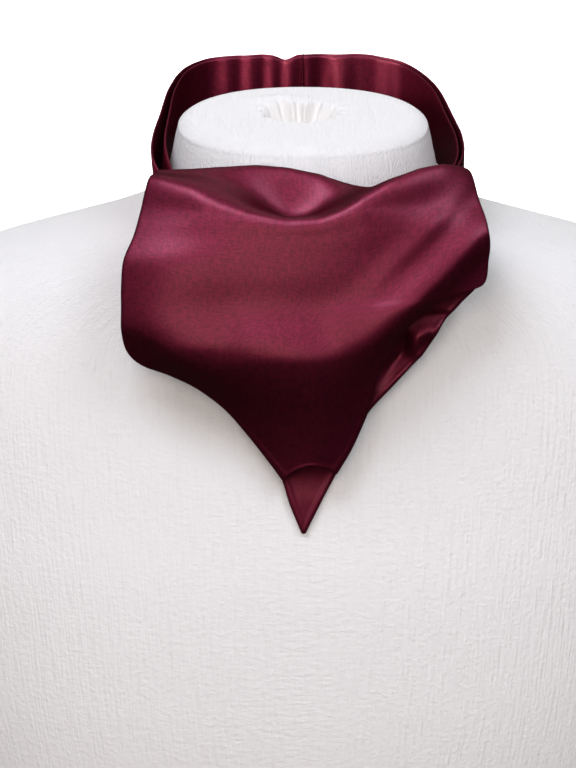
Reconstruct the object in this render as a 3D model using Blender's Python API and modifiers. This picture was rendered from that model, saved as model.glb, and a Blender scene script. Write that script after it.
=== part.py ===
"""A silk cravat, tied once round the neck of a limbless dress form.

The long end crosses the short one, comes up behind the crossing, rolls over the top and falls down the front
as one wide puffed blade. The short end hangs under it on the chest. Each piece of cloth is a surface through
a few named rows, thickened to a wall. The dress form is one smooth body, cut flat at the waist.

Metres, +Z up. The wearer's front faces -Y. The origin is the middle of the form's flat base. The tables are
in millimetres, and heights in them are measured from the top of the neck, so most of them are negative.
"""

import bmesh
import bpy
import numpy as np

MM = 0.001

# Driving dimensions
FORM_HEIGHT = 500 * MM        # flat base to the top of the neck
SATIN_WALL = 1.4 * MM         # satin, interlining and backing, pressed together
BAND_WALL = 2.2 * MM          # the neckband, pleated to several layers and stitched
SEAM_GAP = 0.8 * MM           # between the two halves of the neckband

# Grid sizes of the cloth surfaces
BLADE_ACROSS, BLADE_DOWN = 42, 46
UNDER_ACROSS, UNDER_DOWN = 28, 26
BAND_ALONG, BAND_UP = 72, 6
KNOT_AROUND, KNOT_UP = 36, 6
FORM_AROUND, DIMPLE_RINGS = 48, 5


def table(columns, *rows):
    """Rows of numbers under named columns, as one array for each name."""
    return dict(zip(columns.split(), np.array(rows, float).T))


def through(stations, at):
    """Catmull-Rom curve through equally spaced stations, read at fractional places."""
    stations = np.asarray(stations, float)
    last = len(stations) - 1
    at = np.clip(np.asarray(at, float), 0, last)
    low = np.minimum(np.floor(at).astype(int), last - 1)
    part = (at - low).reshape(at.shape + (1,) * (stations.ndim - 1))
    before, here = stations[np.maximum(low - 1, 0)], stations[low]
    there, after = stations[low + 1], stations[np.minimum(low + 2, last)]
    return 0.5 * (2 * here + (there - before) * part
                  + (2 * before - 5 * here + 4 * there - after) * part ** 2
                  + (3 * here - before - 3 * there + after) * part ** 3)


def resample(rows, count):
    """The table's columns read at count + 1 even places along its rows."""
    places = np.linspace(0, len(next(iter(rows.values()))) - 1, count + 1)
    return {name: through(values, places) for name, values in rows.items()}


def smooth_read(x, places, values, softness=3.0):
    """Values between unevenly spaced places, as the average of a broken line over a soft window."""
    offsets = np.linspace(-1, 1, 9)
    weights = np.cos(offsets * np.pi / 2) ** 2 + 0.01
    reads = np.stack([np.interp(x + softness * offset, places, values) for offset in offsets], -1)
    return (reads * weights).sum(-1) / weights.sum()


def bump(distance, width):
    """A soft hump: 1 at the middle, down to 0 over about twice the width."""
    return np.exp(-(distance / width) ** 2)


def relief(route, x, z):
    """How far a fold stands out at each x, z: a bell curve of the distance from its smooth route.

    The route is many short straight pieces. The height, and the width on each side, come from the route's
    table. Where two stretches of the route are nearly as near, their bells are blended, so no crease shows.
    """
    line = resample(route, 6 * (len(route["x"]) - 1))
    step_x, step_z = np.diff(line["x"]), np.diff(line["z"])
    from_x, from_z = x[..., None] - line["x"][:-1], z[..., None] - line["z"][:-1]
    share = np.clip((from_x * step_x + from_z * step_z) / (step_x ** 2 + step_z ** 2), 0, 1)
    gap = np.hypot(from_x - share * step_x, from_z - share * step_z)
    above = (step_x * from_z - step_z * from_x) * np.where(step_x < 0, -1, 1) / np.hypot(step_x, step_z)
    side = (1 + above / np.maximum(gap, 1e-9)) / 2
    out, wide_above, wide_below = (line[name][:-1] + share * np.diff(line[name])
                                   for name in ("out", "above", "below"))
    bells = out * bump(gap, wide_below + (wide_above - wide_below) * side)
    weights = np.exp((gap.min(-1, keepdims=True) - gap) / FOLD_BLEND)
    return (bells * weights).sum(-1) / weights.sum(-1)


# The dress form: level rings from the base up: half width, reach forward and back, and how square each is
FORM_RINGS = table(
    "height side front back square",
    (-500, 158, 92, 90, 2.3),
    (-470, 154, 90, 87, 2.3),
    (-430, 154, 91, 87, 2.3),
    (-370, 162, 98, 93, 2.4),
    (-310, 174, 106, 102, 2.4),
    (-255, 186, 110, 112, 2.5),
    (-200, 196, 106, 120, 2.5),
    (-160, 203, 97, 123, 2.5),
    (-128, 208, 89, 121, 2.5),
    (-104, 209, 82, 117, 2.5),
    (-86, 201, 76, 112, 2.5),
    (-72, 180, 71, 107, 2.4),
    (-61, 149, 67, 101, 2.3),
    (-53, 120, 63.5, 95, 2.2),
    (-46, 95, 61, 88, 2.1),
    (-39, 76, 59.5, 81, 2.1),
    (-32, 65.5, 58.5, 74, 2.1),
    (-24, 61.5, 57, 66.5, 2.15),
    (-15, 59.2, 55.5, 60, 2.2),
    (-7, 57.5, 53, 56.5, 2.2),
    (-3, 56, 50.5, 54.5, 2.2),
    (-0.8, 53.5, 47.5, 52, 2.2),
    (0, 50.5, 44, 48.5, 2.2))
NECK_TILT = 0.11              # the neck's top rises this much for each step back
DIMPLE_AT = (-1, 10)          # middle of the finger dimple in the neck's top
DIMPLE_RADIUS = 18
DIMPLE_DEPTH = 9

# The neckband's route seen from above, from the back seam to the knot, with its top edge and height
BAND_RIGHT = table(
    "x y top height",
    (0, 80, 14.5, 37),
    (20, 80.5, 15, 37.5),
    (38, 77.5, 14, 37),
    (52, 67, 10.5, 35),
    (61.5, 45, 5, 32),
    (66.5, 16, -2, 30),
    (70, -14, -8, 28),
    (68.5, -38, -13, 26),
    (60, -58, -20, 25),
    (45, -71, -29, 24),
    (27.6, -78, -35, 21))
BAND_LEFT = table(
    "x y top height",
    (0, 80, 14.5, 37),
    (-20, 80.5, 14.5, 37.5),
    (-40, 78.5, 13.5, 37),
    (-54, 68, 10.5, 35),
    (-60.5, 45, 5, 32),
    (-63, 16, -2, 30),
    (-64.6, -14, -8, 28),
    (-62.8, -38, -13, 26),
    (-56.8, -58, -20, 25),
    (-45, -71, -29, 24),
    (-27.6, -78, -35, 21))
# Where the back of the neckband turns towards the light, and how deep it buckles there
BAND_WAVES = table(
    "x width push down",
    (-39.5, 4.5, 1.7, 0),
    (-27.5, 3.2, 1.2, 0.3),
    (-16.2, 2.8, 1.1, 0.2),
    (-8.3, 2.6, 1.2, 2.6),
    (1.2, 2.4, 0.9, 0),
    (13.8, 5.5, 2.8, 0.5),
    (27, 3.2, 0.3, 0),
    (37.5, 3.5, 0.6, 0.4),
    (49, 4.5, 0.6, 0))
BAND_CLEAR = 0.6              # between the band's lower edge and the form

# The knot: a stretch of the long end wrapped round the crossing, closed on itself
KNOT_MIDDLE = (0, -78)
KNOT_HALF = (26, 8.6)
KNOT_TOP, KNOT_BOTTOM = -35, -57
KNOT_BULGE = 1.5

# The front blade, from behind the knot up over the top and down the front to its point
BLADE_ROWS = table(
    "left_x left_z left_y right_x right_z right_y middle_y",
    (-20, -58, -67.4, 20, -58, -67.4, -67.4),
    (-24, -47, -64.0, 24, -47, -64.0, -64.2),
    (-32, -31, -62.0, 32, -30, -62.0, -62.4),
    (-60, -14, -66, 62, -9, -66, -68),
    (-64, -14, -72, 69, -10, -73, -80),
    (-67, -18, -77, 72, -14, -75.5, -93),
    (-70, -26, -81.5, 75, -21, -81.5, -97.2),
    (-73, -36, -85.5, 78, -29, -85.5, -99.8),
    (-77, -45, -89, 79.5, -38, -88, -101.9),
    (-78, -55, -91.5, 79, -46, -89.5, -103.9),
    (-78, -65, -93.5, 77, -56, -92, -105.6),
    (-78, -75, -95, 66, -59, -96, -106.8),
    (-76, -84.5, -95.5, 54, -63, -99, -107.4),
    (-70, -91, -94, 45, -71, -100, -107),
    (-58, -96, -92, 37, -82, -99.5, -106.5),
    (-46, -102, -91.5, 32, -94, -98.5, -106),
    (-34, -111, -93, 29, -106, -98.5, -105),
    (-24, -122, -96, 25, -117, -99, -104.5),
    (-15, -133, -99.5, 20, -128, -100.5, -104),
    (-9, -141, -101.5, 14, -138, -101.8, -103.6))
REAR_ROW, HOLLOW_ROW, RIDGE_ROW = 3, 4, 5
TOP_EDGE = table(
    "x rear ridge",
    (-80, -14, -14),
    (-62, -13.5, -14),
    (-47, -12.5, -16),
    (-35, -11, -20),
    (-21, -9.5, -24),
    (-7, -10.5, -27),
    (7, -13.5, -26),
    (17, -17.5, -22),
    (25, -20.5, -17.5),
    (37, -22, -12),
    (50, -18, -8),
    (60, -13, -7),
    (68, -13, -9),
    (80, -16, -16))
FOLD_BLEND = 2.0              # how softly a fold turns where its route bends
HOLLOW_MIDDLE, HOLLOW_WIDTH, HOLLOW_DEPTH = -5, 19, 12
HEM_RISE = 6                  # how far the blade's end arches up over the under blade
# Folds of the front blade: the route, how far each place stands out, and its reach above and below the route
FRONT_FOLDS = {
    "belly crest": table(
        "x z out above below",
        (-92, -70, 5.6, 18, 9),
        (-78, -71.5, 5.6, 19, 9),
        (-65, -75.5, 6.2, 19.5, 8),
        (-50, -84.5, 7, 20, 8),
        (-35, -88.5, 7, 19, 14),
        (-20, -85.5, 7.6, 16, 24),
        (-5, -85, 8, 14, 28),
        (10, -84.5, 8, 13, 28),
        (20, -82, 8, 15, 20),
        (29, -77.5, 8, 14, 10),
        (37, -70.5, 7.8, 13, 7),
        (44, -64, 7.2, 12, 6.5),
        (51, -57.5, 7, 11.5, 6.5),
        (59, -50.5, 6.5, 11, 6.5),
        (67, -43, 6, 10, 7),
        (75, -35.5, 5.5, 9, 8),
        (88, -30, 5, 9, 8)),
    "right ridge": table(
        "x z out above below",
        (74, -10, 0.8, 6, 5.5),
        (68, -17, 1.3, 6, 5.5),
        (60, -25, 1.6, 6, 5.5),
        (49, -36, 1.5, 6, 5.5),
        (40, -44, 1.2, 6, 5.5),
        (30, -54, 0.8, 6, 6),
        (20, -63, 0.4, 6, 6),
        (10, -73, 0, 6, 6)),
    "left lobe": table(
        "x z out above below",
        (-92, -45, 3.5, 18, 21),
        (-70, -46, 4.2, 18, 21),
        (-58, -46.5, 4, 18, 21),
        (-46, -45.5, 2.7, 18, 20),
        (-32, -43.5, 0.9, 17, 18),
        (-16, -42, 0, 16, 16)),
    "rim of the hollow": table(
        "x z out above below",
        (-60, -15, 0, 2.5, 5),
        (-40, -19, 1.0, 2.5, 5),
        (-22, -24, 1.0, 2.5, 5),
        (-6, -27.5, 1.0, 2.5, 5),
        (8, -26, 0.9, 2.5, 5),
        (20, -20, 1.4, 2.5, 5),
        (36, -14.5, 1, 2.5, 5),
        (52, -12, 0.6, 2.5, 5),
        (68, -12, 0, 2.5, 5))}

# The under blade, from inside the knot down to its point on the chest
UNDER_ROWS = table(
    "left_x left_z left_y right_x right_z right_y middle_y",
    (-15, -38, -72.2, 15, -38, -72.2, -71.5),
    (-16, -48, -72.2, 16, -48, -72.2, -71.5),
    (-18, -59, -73.2, 19, -58.5, -73.2, -73.5),
    (-29, -65, -77.5, 38, -60, -78, -79.5),
    (-41, -68, -80, 60, -58, -80, -84),
    (-51, -71, -80.5, 74.5, -58.5, -81, -86),
    (-55, -77, -81, 68, -66, -83, -87.5),
    (-51, -85, -82, 60.5, -74, -85, -89),
    (-44, -94, -85, 52.5, -86.5, -87, -90),
    (-36, -104, -88, 40, -100, -89, -92),
    (-27, -115, -91, 28, -113, -92, -93),
    (-17, -128, -94, 20, -127, -94.5, -95),
    (-10, -141, -94.6, 14, -140, -94.6, -94.9),
    (-6, -153, -97.2, 7.5, -152, -97.2, -97.4),
    (-0.7, -165.5, -99.6, 0.7, -165.5, -99.6, -99.6))
UNDER_FOLDS = {
    "round fold": table(
        "x z out above below",
        (66, -78, 2.6, 4.2, 5),
        (57, -77.5, 3.6, 4.2, 5),
        (50, -80, 3.6, 4.2, 4),
        (48.5, -84.5, 3.0, 4, 4),
        (51, -89, 1.5, 4, 4)),
    "pocket": table(
        "x z out above below",
        (43, -81, -2, 4, 4),
        (42.5, -87, -3, 4, 4),
        (37.5, -93, -2, 4, 4),
        (33, -99, -0.5, 4, 4))}


def world(x, y, z):
    """Millimetres, with heights from the neck's top, to metres from the base."""
    return np.stack([np.asarray(x) * MM, np.asarray(y) * MM, FORM_HEIGHT + np.asarray(z) * MM], -1)


def form_points():
    """Rings of a superellipse whose front and back reach differ, closed over a dimple at the neck's top."""
    angle = np.linspace(0, 2 * np.pi, FORM_AROUND, endpoint=False)
    rings = []
    for height, side, front, back, square in zip(*FORM_RINGS.values()):
        across = np.sign(np.cos(angle)) * np.abs(np.cos(angle)) ** (2 / square)
        depth = np.sign(np.sin(angle)) * np.abs(np.sin(angle)) ** (2 / square)
        y = np.where(depth < 0, front, back) * depth
        rings.append(world(side * across, y, height + NECK_TILT * y * np.clip((height + 24) / 20, 0, 1)))
    rim = (rings[-1] - world(0, 0, 0)) / MM
    for ring in range(1, DIMPLE_RINGS + 1):
        inward = 1 - ring / (DIMPLE_RINGS + 1)
        x = DIMPLE_AT[0] + (rim[:, 0] - DIMPLE_AT[0]) * inward
        y = DIMPLE_AT[1] + (rim[:, 1] - DIMPLE_AT[1]) * inward
        reach = np.hypot(x - DIMPLE_AT[0], y - DIMPLE_AT[1])
        rings.append(world(x, y, NECK_TILT * y - DIMPLE_DEPTH * bump(reach, DIMPLE_RADIUS * 0.62)))
    return rings


def form_height(x, y):
    """Height of the form's surface below each x, y, where a level ring of the form passes through it."""
    reach = np.where(y[..., None] < 0, FORM_RINGS["front"], FORM_RINGS["back"])
    inside = ((np.abs(x)[..., None] / FORM_RINGS["side"]) ** FORM_RINGS["square"]
              + (np.abs(y)[..., None] / reach) ** FORM_RINGS["square"])
    first_out = np.argmax(inside > 1, axis=-1)
    low, high = (np.take_along_axis(inside, (first_out - step)[..., None], -1)[..., 0] for step in (1, 0))
    share = (1 - low) / (high - low)
    heights = FORM_RINGS["height"]
    return heights[first_out - 1] + share * (heights[first_out] - heights[first_out - 1])


def band_points(route, side):
    """A strip that stands on the form's neck root or above it, and buckles softly at the back of the neck.

    Each wave swings the strip back on one side of its middle and forward on the other, and drops its top.
    """
    rows = resample(route, BAND_ALONG)
    x, y = rows["x"], rows["y"]
    x[0] = side * (SEAM_GAP / 2) / MM
    along = np.stack([np.gradient(x), np.gradient(y)], -1)
    along /= np.linalg.norm(along, axis=-1, keepdims=True)
    along[0] = side, 0
    outward = np.stack([along[:, 1], -along[:, 0]], -1) * -side
    at_back = np.clip((y - 20) / 25, 0, 1)
    waves = list(zip(*BAND_WAVES.values()))
    places = [((x - middle) / width, push, down) for middle, width, push, down in waves]
    out = sum(-at_back * push * t * np.exp((1 - t ** 2) / 2) for t, push, _ in places)
    dip = sum(at_back * down * bump(t, 1.6) for t, _, down in places)
    up = np.linspace(0, 1, BAND_UP + 1)
    root = np.maximum(form_height(x - outward[:, 0] * BAND_WALL / MM, y - outward[:, 1] * BAND_WALL / MM),
                      form_height(x, y)) + BAND_CLEAR
    height = np.minimum(rows["height"], rows["top"] - root)[:, None]
    z = (rows["top"] - dip)[:, None] - height * (1 - up)
    push = out[:, None] * np.sin(np.pi * (0.25 + 0.6 * up))
    return world(x[:, None] + outward[:, :1] * push, y[:, None] + outward[:, 1:] * push, z)


def knot_points():
    """A level loop, rounder at its front, bulging a little at half its height."""
    angle = np.linspace(0, 2 * np.pi, KNOT_AROUND, endpoint=False)
    up = np.linspace(0, 1, KNOT_UP + 1)[:, None]
    swell = KNOT_BULGE * np.sin(np.pi * up) * (np.sin(angle) < 0) * np.abs(np.sin(angle))
    across = np.sign(np.cos(angle)) * np.abs(np.cos(angle)) ** 0.7
    depth = np.sign(np.sin(angle)) * np.abs(np.sin(angle)) ** 0.7
    x = KNOT_MIDDLE[0] + KNOT_HALF[0] * across + 0 * up
    y = KNOT_MIDDLE[1] + KNOT_HALF[1] * depth - swell
    return world(x, y, KNOT_BOTTOM + (KNOT_TOP - KNOT_BOTTOM) * up + 0 * x)


def spread(rows, side):
    """Each row as a level or tilted arc from its left end to its right one, its middle brought forward."""
    share = (side + 1) / 2
    x = rows["left_x"][:, None] + (rows["right_x"] - rows["left_x"])[:, None] * share
    z = rows["left_z"][:, None] + (rows["right_z"] - rows["left_z"])[:, None] * share
    ends = rows["left_y"][:, None] + (rows["right_y"] - rows["left_y"])[:, None] * share
    forward = (rows["middle_y"] - (rows["left_y"] + rows["right_y"]) / 2)[:, None]
    return x, ends + forward * (1 - np.abs(side) ** 2.2), z


def folded(x, y, z, folds, weight):
    """The surface with its folds, which stand forward of it where their height is positive."""
    return y - weight * sum(relief(route, x, z) for route in folds.values())


def blade_points():
    """The rows joined by smooth lines: up behind the knot, over the hollow and its front ridge, and down."""
    side = np.linspace(-1, 1, BLADE_ACROSS + 1)
    x, y, z = spread(BLADE_ROWS, side)
    rear = smooth_read(x[REAR_ROW], TOP_EDGE["x"], TOP_EDGE["rear"])
    ridge = smooth_read(x[RIDGE_ROW], TOP_EDGE["x"], TOP_EDGE["ridge"])
    dip = HOLLOW_DEPTH * bump(x[HOLLOW_ROW] - HOLLOW_MIDDLE, HOLLOW_WIDTH)
    z[REAR_ROW] = rear
    z[RIDGE_ROW] = ridge
    z[HOLLOW_ROW] = (rear + ridge) / 2 + 1.5 - dip
    drop = np.minimum(ridge - BLADE_ROWS["left_z"][RIDGE_ROW], 0)
    for row, share in ((RIDGE_ROW + 1, 0.55), (RIDGE_ROW + 2, 0.25), (RIDGE_ROW + 3, 0.1)):
        z[row] += drop * share
    at = np.linspace(0, len(x) - 1, BLADE_DOWN + 1)
    x, y, z = (through(values, at) for values in (x, y, z))
    down = (at / at[-1])[:, None]
    z = z + HEM_RISE * (1 - side ** 2) * np.clip((down - 0.8) / 0.2, 0, 1) ** 1.5
    face = np.clip((at - RIDGE_ROW + 0.5) / 2, 0, 1)[:, None]
    return world(x, folded(x, y, z, FRONT_FOLDS, face), z)


def under_points():
    """A fan of cloth from the knot, narrowing to the point, with the folds that show at its right side."""
    side = np.linspace(-1, 1, UNDER_ACROSS + 1)
    x, y, z = spread(UNDER_ROWS, side)
    at = np.linspace(0, len(x) - 1, UNDER_DOWN + 1)
    x, y, z = (through(values, at) for values in (x, y, z))
    return world(x, folded(x, y, z, UNDER_FOLDS, 1.0), z)


def satin(name, colour):
    """Smooth dyed satin."""
    material = bpy.data.materials.new(name)
    material.use_nodes = True
    shader = material.node_tree.nodes["Principled BSDF"]
    shader.inputs["Base Color"].default_value = (*colour, 1)
    shader.inputs["Roughness"].default_value = 0.42
    shader.inputs["Metallic"].default_value = 0
    return material


def add_object(collection, name, mesh_data, material):
    """One named object with its own material, shaded smooth."""
    obj = bpy.data.objects.new(name, mesh_data)
    mesh_data.materials.append(material)
    mesh_data.shade_smooth()
    collection.objects.link(obj)
    return obj


def sheet_mesh(name, points, closed=False, flip=False):
    """A net of four-sided faces over rows and columns of points."""
    rows, columns = points.shape[:2]
    row, column = np.meshgrid(np.arange(rows - 1), np.arange(columns - (not closed)), indexing="ij")
    right = (column + 1) % columns
    faces = np.stack([row * columns + column, row * columns + right,
                      (row + 1) * columns + right, (row + 1) * columns + column], -1).reshape(-1, 4)
    mesh = bpy.data.meshes.new(name)
    mesh.from_pydata(points.reshape(-1, 3), [], faces[:, ::-1] if flip else faces)
    return mesh


def add_cloth(collection, name, points, wall, material, closed=False, flip=False):
    """A sheet with its wall thickness, half on each side of the surface."""
    obj = add_object(collection, name, sheet_mesh(name, points, closed, flip), material)
    solidify = obj.modifiers.new("wall", "SOLIDIFY")
    solidify.thickness = wall
    solidify.offset = 0
    solidify.use_even_offset = True
    return obj


def add_form(collection, material):
    """The rings joined and closed by a flat base and by a fan in the dimple's middle."""
    mesh = bmesh.new()
    rings = [[mesh.verts.new(point) for point in ring] for ring in form_points()]
    for lower, upper in zip(rings, rings[1:]):
        for here in range(FORM_AROUND):
            there = (here + 1) % FORM_AROUND
            mesh.faces.new((lower[here], lower[there], upper[there], upper[here]))
    mesh.faces.new(reversed(rings[0]))
    centre = mesh.verts.new(world(*DIMPLE_AT, -DIMPLE_DEPTH))
    for here in range(FORM_AROUND):
        mesh.faces.new((rings[-1][here], rings[-1][(here + 1) % FORM_AROUND], centre))
    data = bpy.data.meshes.new("dress_form")
    mesh.to_mesh(data)
    mesh.free()
    obj = add_object(collection, "dress_form", data, material)
    data.set_sharp_from_angle(angle=np.radians(50))
    return obj


def main():
    for obj in list(bpy.data.objects):
        bpy.data.objects.remove(obj)
    collection = bpy.data.collections.new("silk_cravat_on_a_dress_form")
    bpy.context.scene.collection.children.link(collection)
    jersey = satin("white_jersey", (0.80, 0.80, 0.80))
    jersey.node_tree.nodes["Principled BSDF"].inputs["Roughness"].default_value = 0.85
    burgundy = (0.125, 0.012, 0.032)
    add_form(collection, jersey)
    add_cloth(collection, "neckband_left", band_points(BAND_LEFT, -1), BAND_WALL,
              satin("satin_neckband_left", burgundy))
    add_cloth(collection, "neckband_right", band_points(BAND_RIGHT, 1), BAND_WALL,
              satin("satin_neckband_right", burgundy), flip=True)
    add_cloth(collection, "knot_wrap", knot_points(), SATIN_WALL, satin("satin_knot", burgundy), closed=True)
    add_cloth(collection, "under_blade", under_points(), SATIN_WALL, satin("satin_under_blade", burgundy))
    add_cloth(collection, "front_blade", blade_points(), SATIN_WALL, satin("satin_front_blade", burgundy))


main()
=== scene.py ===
"""The looks of a silk cravat tied round the neck of a jersey-covered dress form.

Laid out as an add-on and run as a script. Sizes are in metres and +Z is up. The tables are in millimetres,
and heights in them are measured from the top of the neck, so most of them are negative.
"""

import bpy
import numpy as np
from mathutils import Matrix, Vector

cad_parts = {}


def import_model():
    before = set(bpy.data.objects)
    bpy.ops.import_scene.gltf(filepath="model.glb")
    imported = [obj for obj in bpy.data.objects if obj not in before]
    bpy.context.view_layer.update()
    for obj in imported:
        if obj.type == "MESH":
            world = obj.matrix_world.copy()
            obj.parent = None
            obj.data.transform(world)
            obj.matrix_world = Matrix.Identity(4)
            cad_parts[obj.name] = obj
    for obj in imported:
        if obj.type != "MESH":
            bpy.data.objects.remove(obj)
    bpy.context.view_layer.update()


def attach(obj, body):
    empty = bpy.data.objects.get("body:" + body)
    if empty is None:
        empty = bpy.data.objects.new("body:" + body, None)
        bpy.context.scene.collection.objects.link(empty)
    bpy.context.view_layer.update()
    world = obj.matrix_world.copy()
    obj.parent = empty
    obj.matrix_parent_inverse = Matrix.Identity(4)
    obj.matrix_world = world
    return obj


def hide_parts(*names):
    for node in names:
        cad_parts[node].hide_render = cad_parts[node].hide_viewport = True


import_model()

bl_info = {
    "name": "Silk cravat",
    "version": (1, 0, 0),
    "blender": (4, 5, 0),
    "location": "View3D > Sidebar > Cravat",
    "description": "Builds a satin cravat on a dress form, with its stage",
    "category": "Add Mesh",
}

MM = 0.001
NECK_HEIGHT = 500 * MM        # the table heights' zero: the middle of the neck's top

# The camera: in front of the form and above it, looking down at this angle, as the photograph is taken
CAMERA_AT = Vector((-0.0068, -1.3835, 0.7458))
CAMERA_ELEVATION = 15.0
CAMERA_LENS = 145.2           # millimetres, for a 36 mm frame height

# Soft studio light: the places and sizes are in metres, and the powers in watts
LAMP_TARGET = Vector((0, 0, NECK_HEIGHT - 50 * MM))
LAMPS = (
    dict(name="key_softbox", place=(-0.45, -0.75, 1.8), size=(0.8, 0.6), power=17.5, colour="E2EAFF"),
    dict(name="front_softbox", place=(-0.25, -1.6, 1.0), size=(0.7, 0.7), power=5.6, colour="FFE9E0"),
    dict(name="top_softbox", place=(0.15, 0.5, 1.5), size=(0.8, 0.5), power=0.8, colour="FFFFFF"),
    dict(name="right_softbox", place=(0.75, -0.9, 1.6), size=(0.6, 0.6), power=8.2, colour="E2EAFF"))
# These two face the floor. It sends the first one's light up to the chest, and the second whitens what is
# seen behind the form
DOWN_LAMPS = (
    dict(name="floor_wash", place=(0, -1.7, 1.0), size=(2.0, 1.6), power=10, colour="FFFFFF", spread=180),
    dict(name="backdrop_softbox", place=(0, 4.5, 3.2), size=(9, 5), power=760, colour="FFFFFF", spread=100))
# What the white neck throws back at the band behind it
BAND_LAMP = dict(name="neck_bounce", place=(-0.16, -0.06, 0.55), size=(0.10, 0.06), power=0.34,
                 colour="FFF2EA")
BAND_LAMP_TARGET = Vector((0, 0.08, NECK_HEIGHT))
SKY_AT_HORIZON = 0.03
SKY_OVERHEAD = 0.35
FLOOR_REACH = 30.0

SATIN_EDGE = "9A4A66"         # what the satin turns to where it is seen at a low angle
SATIN_SHADES = (0.76, 1.24)   # the grain's darkest and lightest places, as shares of the satin's colour
JERSEY_SHADES = (0.95, 1.02)
# The threads lie 0.1 mm apart, too fine to show, so the satin's grain is drawn as slubs of about 1 mm across
# by 4 mm down, and a cross grain of about 3 mm by 1 mm. The numbers are how many of them there are in a mm
SLUBS = (0.96, 0.24)
CROSS_GRAIN = (0.35, 1.1)
# The jersey's wales: how far apart and how long, in mm. Real ones are 0.7 mm apart, which wouldn't show
WALES = (1.1, 20)


def table(columns, *rows):
    """Rows of numbers under named columns, as one array for each name."""
    return dict(zip(columns.split(), np.array(rows, float).T))


# The dress form's level rings from the base up: half width, reach forward and back, and how square each is
FORM_RINGS = table(
    "height side front back square",
    (-500, 158, 92, 90, 2.3),
    (-470, 154, 90, 87, 2.3),
    (-430, 154, 91, 87, 2.3),
    (-370, 162, 98, 93, 2.4),
    (-310, 174, 106, 102, 2.4),
    (-255, 186, 110, 112, 2.5),
    (-200, 196, 106, 120, 2.5),
    (-160, 203, 97, 123, 2.5),
    (-128, 208, 89, 121, 2.5),
    (-104, 209, 82, 117, 2.5),
    (-86, 201, 76, 112, 2.5),
    (-72, 180, 71, 107, 2.4),
    (-61, 149, 67, 101, 2.3),
    (-53, 120, 63.5, 95, 2.2),
    (-46, 95, 61, 88, 2.1),
    (-39, 76, 59.5, 81, 2.1),
    (-32, 65.5, 58.5, 74, 2.1),
    (-24, 61.5, 57, 66.5, 2.15),
    (-15, 59.2, 55.5, 60, 2.2),
    (-7, 57.5, 53, 56.5, 2.2),
    (-3, 56, 50.5, 54.5, 2.2),
    (-0.8, 53.5, 47.5, 52, 2.2),
    (0, 50.5, 44, 48.5, 2.2))
NECK_SHARE = 0.7              # the share of the rings that lies below the neck
NECK_RADIUS = 60
NECK_TILT = 0.11              # the neck's top rises this much for each step back
TILT_FROM, TILT_REACH = -24, 20  # where the neck starts to tilt, and how much higher it tilts in full
RIM_BEAD = (-3, 1.2, 0.4)     # the seam round the neck's top: its height, reach and how far it stands out
SEAM_NUB = (-16, -6, 1.3, 1.2)  # where that seam ends, at the front: across, height, reach and how far out
DIMPLE_AT = (-1, 10)          # the middle of the pit that the cover is gathered into
DIMPLE_HALF = (18, 17.5)      # how far its mouth reaches across and back
DIMPLE_DEPTH = 13
PIT_SIDE = (0.62, 0.42)       # where its side starts and how far it goes, as shares of the mouth's reach
GATHERS = 13                  # folds of jersey that run down into it
GATHER_WAVER = 0.09           # how far they move the side in and out, as a share of the mouth's reach
GATHER_CREASE = 0.35          # how far they stand up round the mouth
BUNCH = (-9, 29, 12, 5, 1.8)  # cloth bunched behind the pit: where, its two reaches and its height
HALF_GIRTH = 0.40             # metres of cover from the back seam to the front, on the jersey's map

# The neckband's route seen from above, from the back seam to the knot, its top edge and its height
BAND_RIGHT = table(
    "x y top height gap",
    (0, 80, 14.5, 37, 1.5),
    (20, 80.5, 15, 37.5, 1.6),
    (38, 77.5, 14, 37, 1.6),
    (52, 67, 10.5, 35, 1.6),
    (61.5, 45, 5, 32, 1.9),
    (66.5, 16, -2, 30, 2.4),
    (70, -14, -8, 28, 2.6),
    (68.5, -38, -13, 26, 2.4),
    (60, -58, -20, 25, 2.2),
    (45, -71, -29, 24, 1.7),
    (27.6, -78, -35, 21, 1.5))
BAND_LEFT = table(
    "x y top height gap",
    (0, 80, 14.5, 37, 1.5),
    (-20, 80.5, 14.5, 37.5, 1.6),
    (-40, 78.5, 13.5, 37, 1.6),
    (-54, 68, 10.5, 35, 1.7),
    (-60.5, 45, 5, 32, 2.6),
    (-63, 16, -2, 30, 3.8),
    (-64.6, -14, -8, 28, 5.6),
    (-62.8, -38, -13, 26, 7.0),
    (-56.8, -58, -20, 25, 4.8),
    (-45, -71, -29, 24, 1.8),
    (-27.6, -78, -35, 21, 1.5))
# Where the back of the neckband turns towards the light, and how deep it buckles there
BAND_WAVES = table(
    "x width push down",
    (-39.5, 4.5, 1.7, 0),
    (-27.5, 3.2, 1.2, 0.3),
    (-16.2, 2.8, 1.1, 0.2),
    (-8.3, 2.6, 1.2, 2.6),
    (1.2, 2.4, 0.9, 0),
    (13.8, 5.5, 2.8, 0.5),
    (27, 3.2, 0.3, 0),
    (37.5, 3.5, 0.6, 0.4),
    (49, 4.5, 0.6, 0))
WAVES_FROM, WAVES_REACH = 20, 25  # how far back the waves start, and how much further they are in full
BAND_FOLD = (0.46, 0.54)      # where the U's turn starts and ends, as shares of the strip's width
BAND_SPACING = 1.3            # between the middles of the two layers at the fold
BAND_CLEARANCE = 0.6          # between the fold's middle and the form
BAND_FOOT = 2.6               # how far inside the route the form's height is read too
OUTER_RISE = 0.8              # how much higher the outer layer is at the top
SEAM_HALF_GAP = 0.35

SEAM_FACE = (78.6, 14, -16)   # the back seam: its inner face's y, its top and its foot
THREAD_RADIUS = 0.16 * MM
STITCH_SHARE = 0.45           # half a stitch, as a share of the stitch length
STITCH_ARCH = 0.35            # how far a stitch's middle stands out from its ends
STITCH_STEP = 1.5             # from one stitch to the next, in stitch lengths
LOOSE_END = 4.2               # how high the loose end of thread stands

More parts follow.
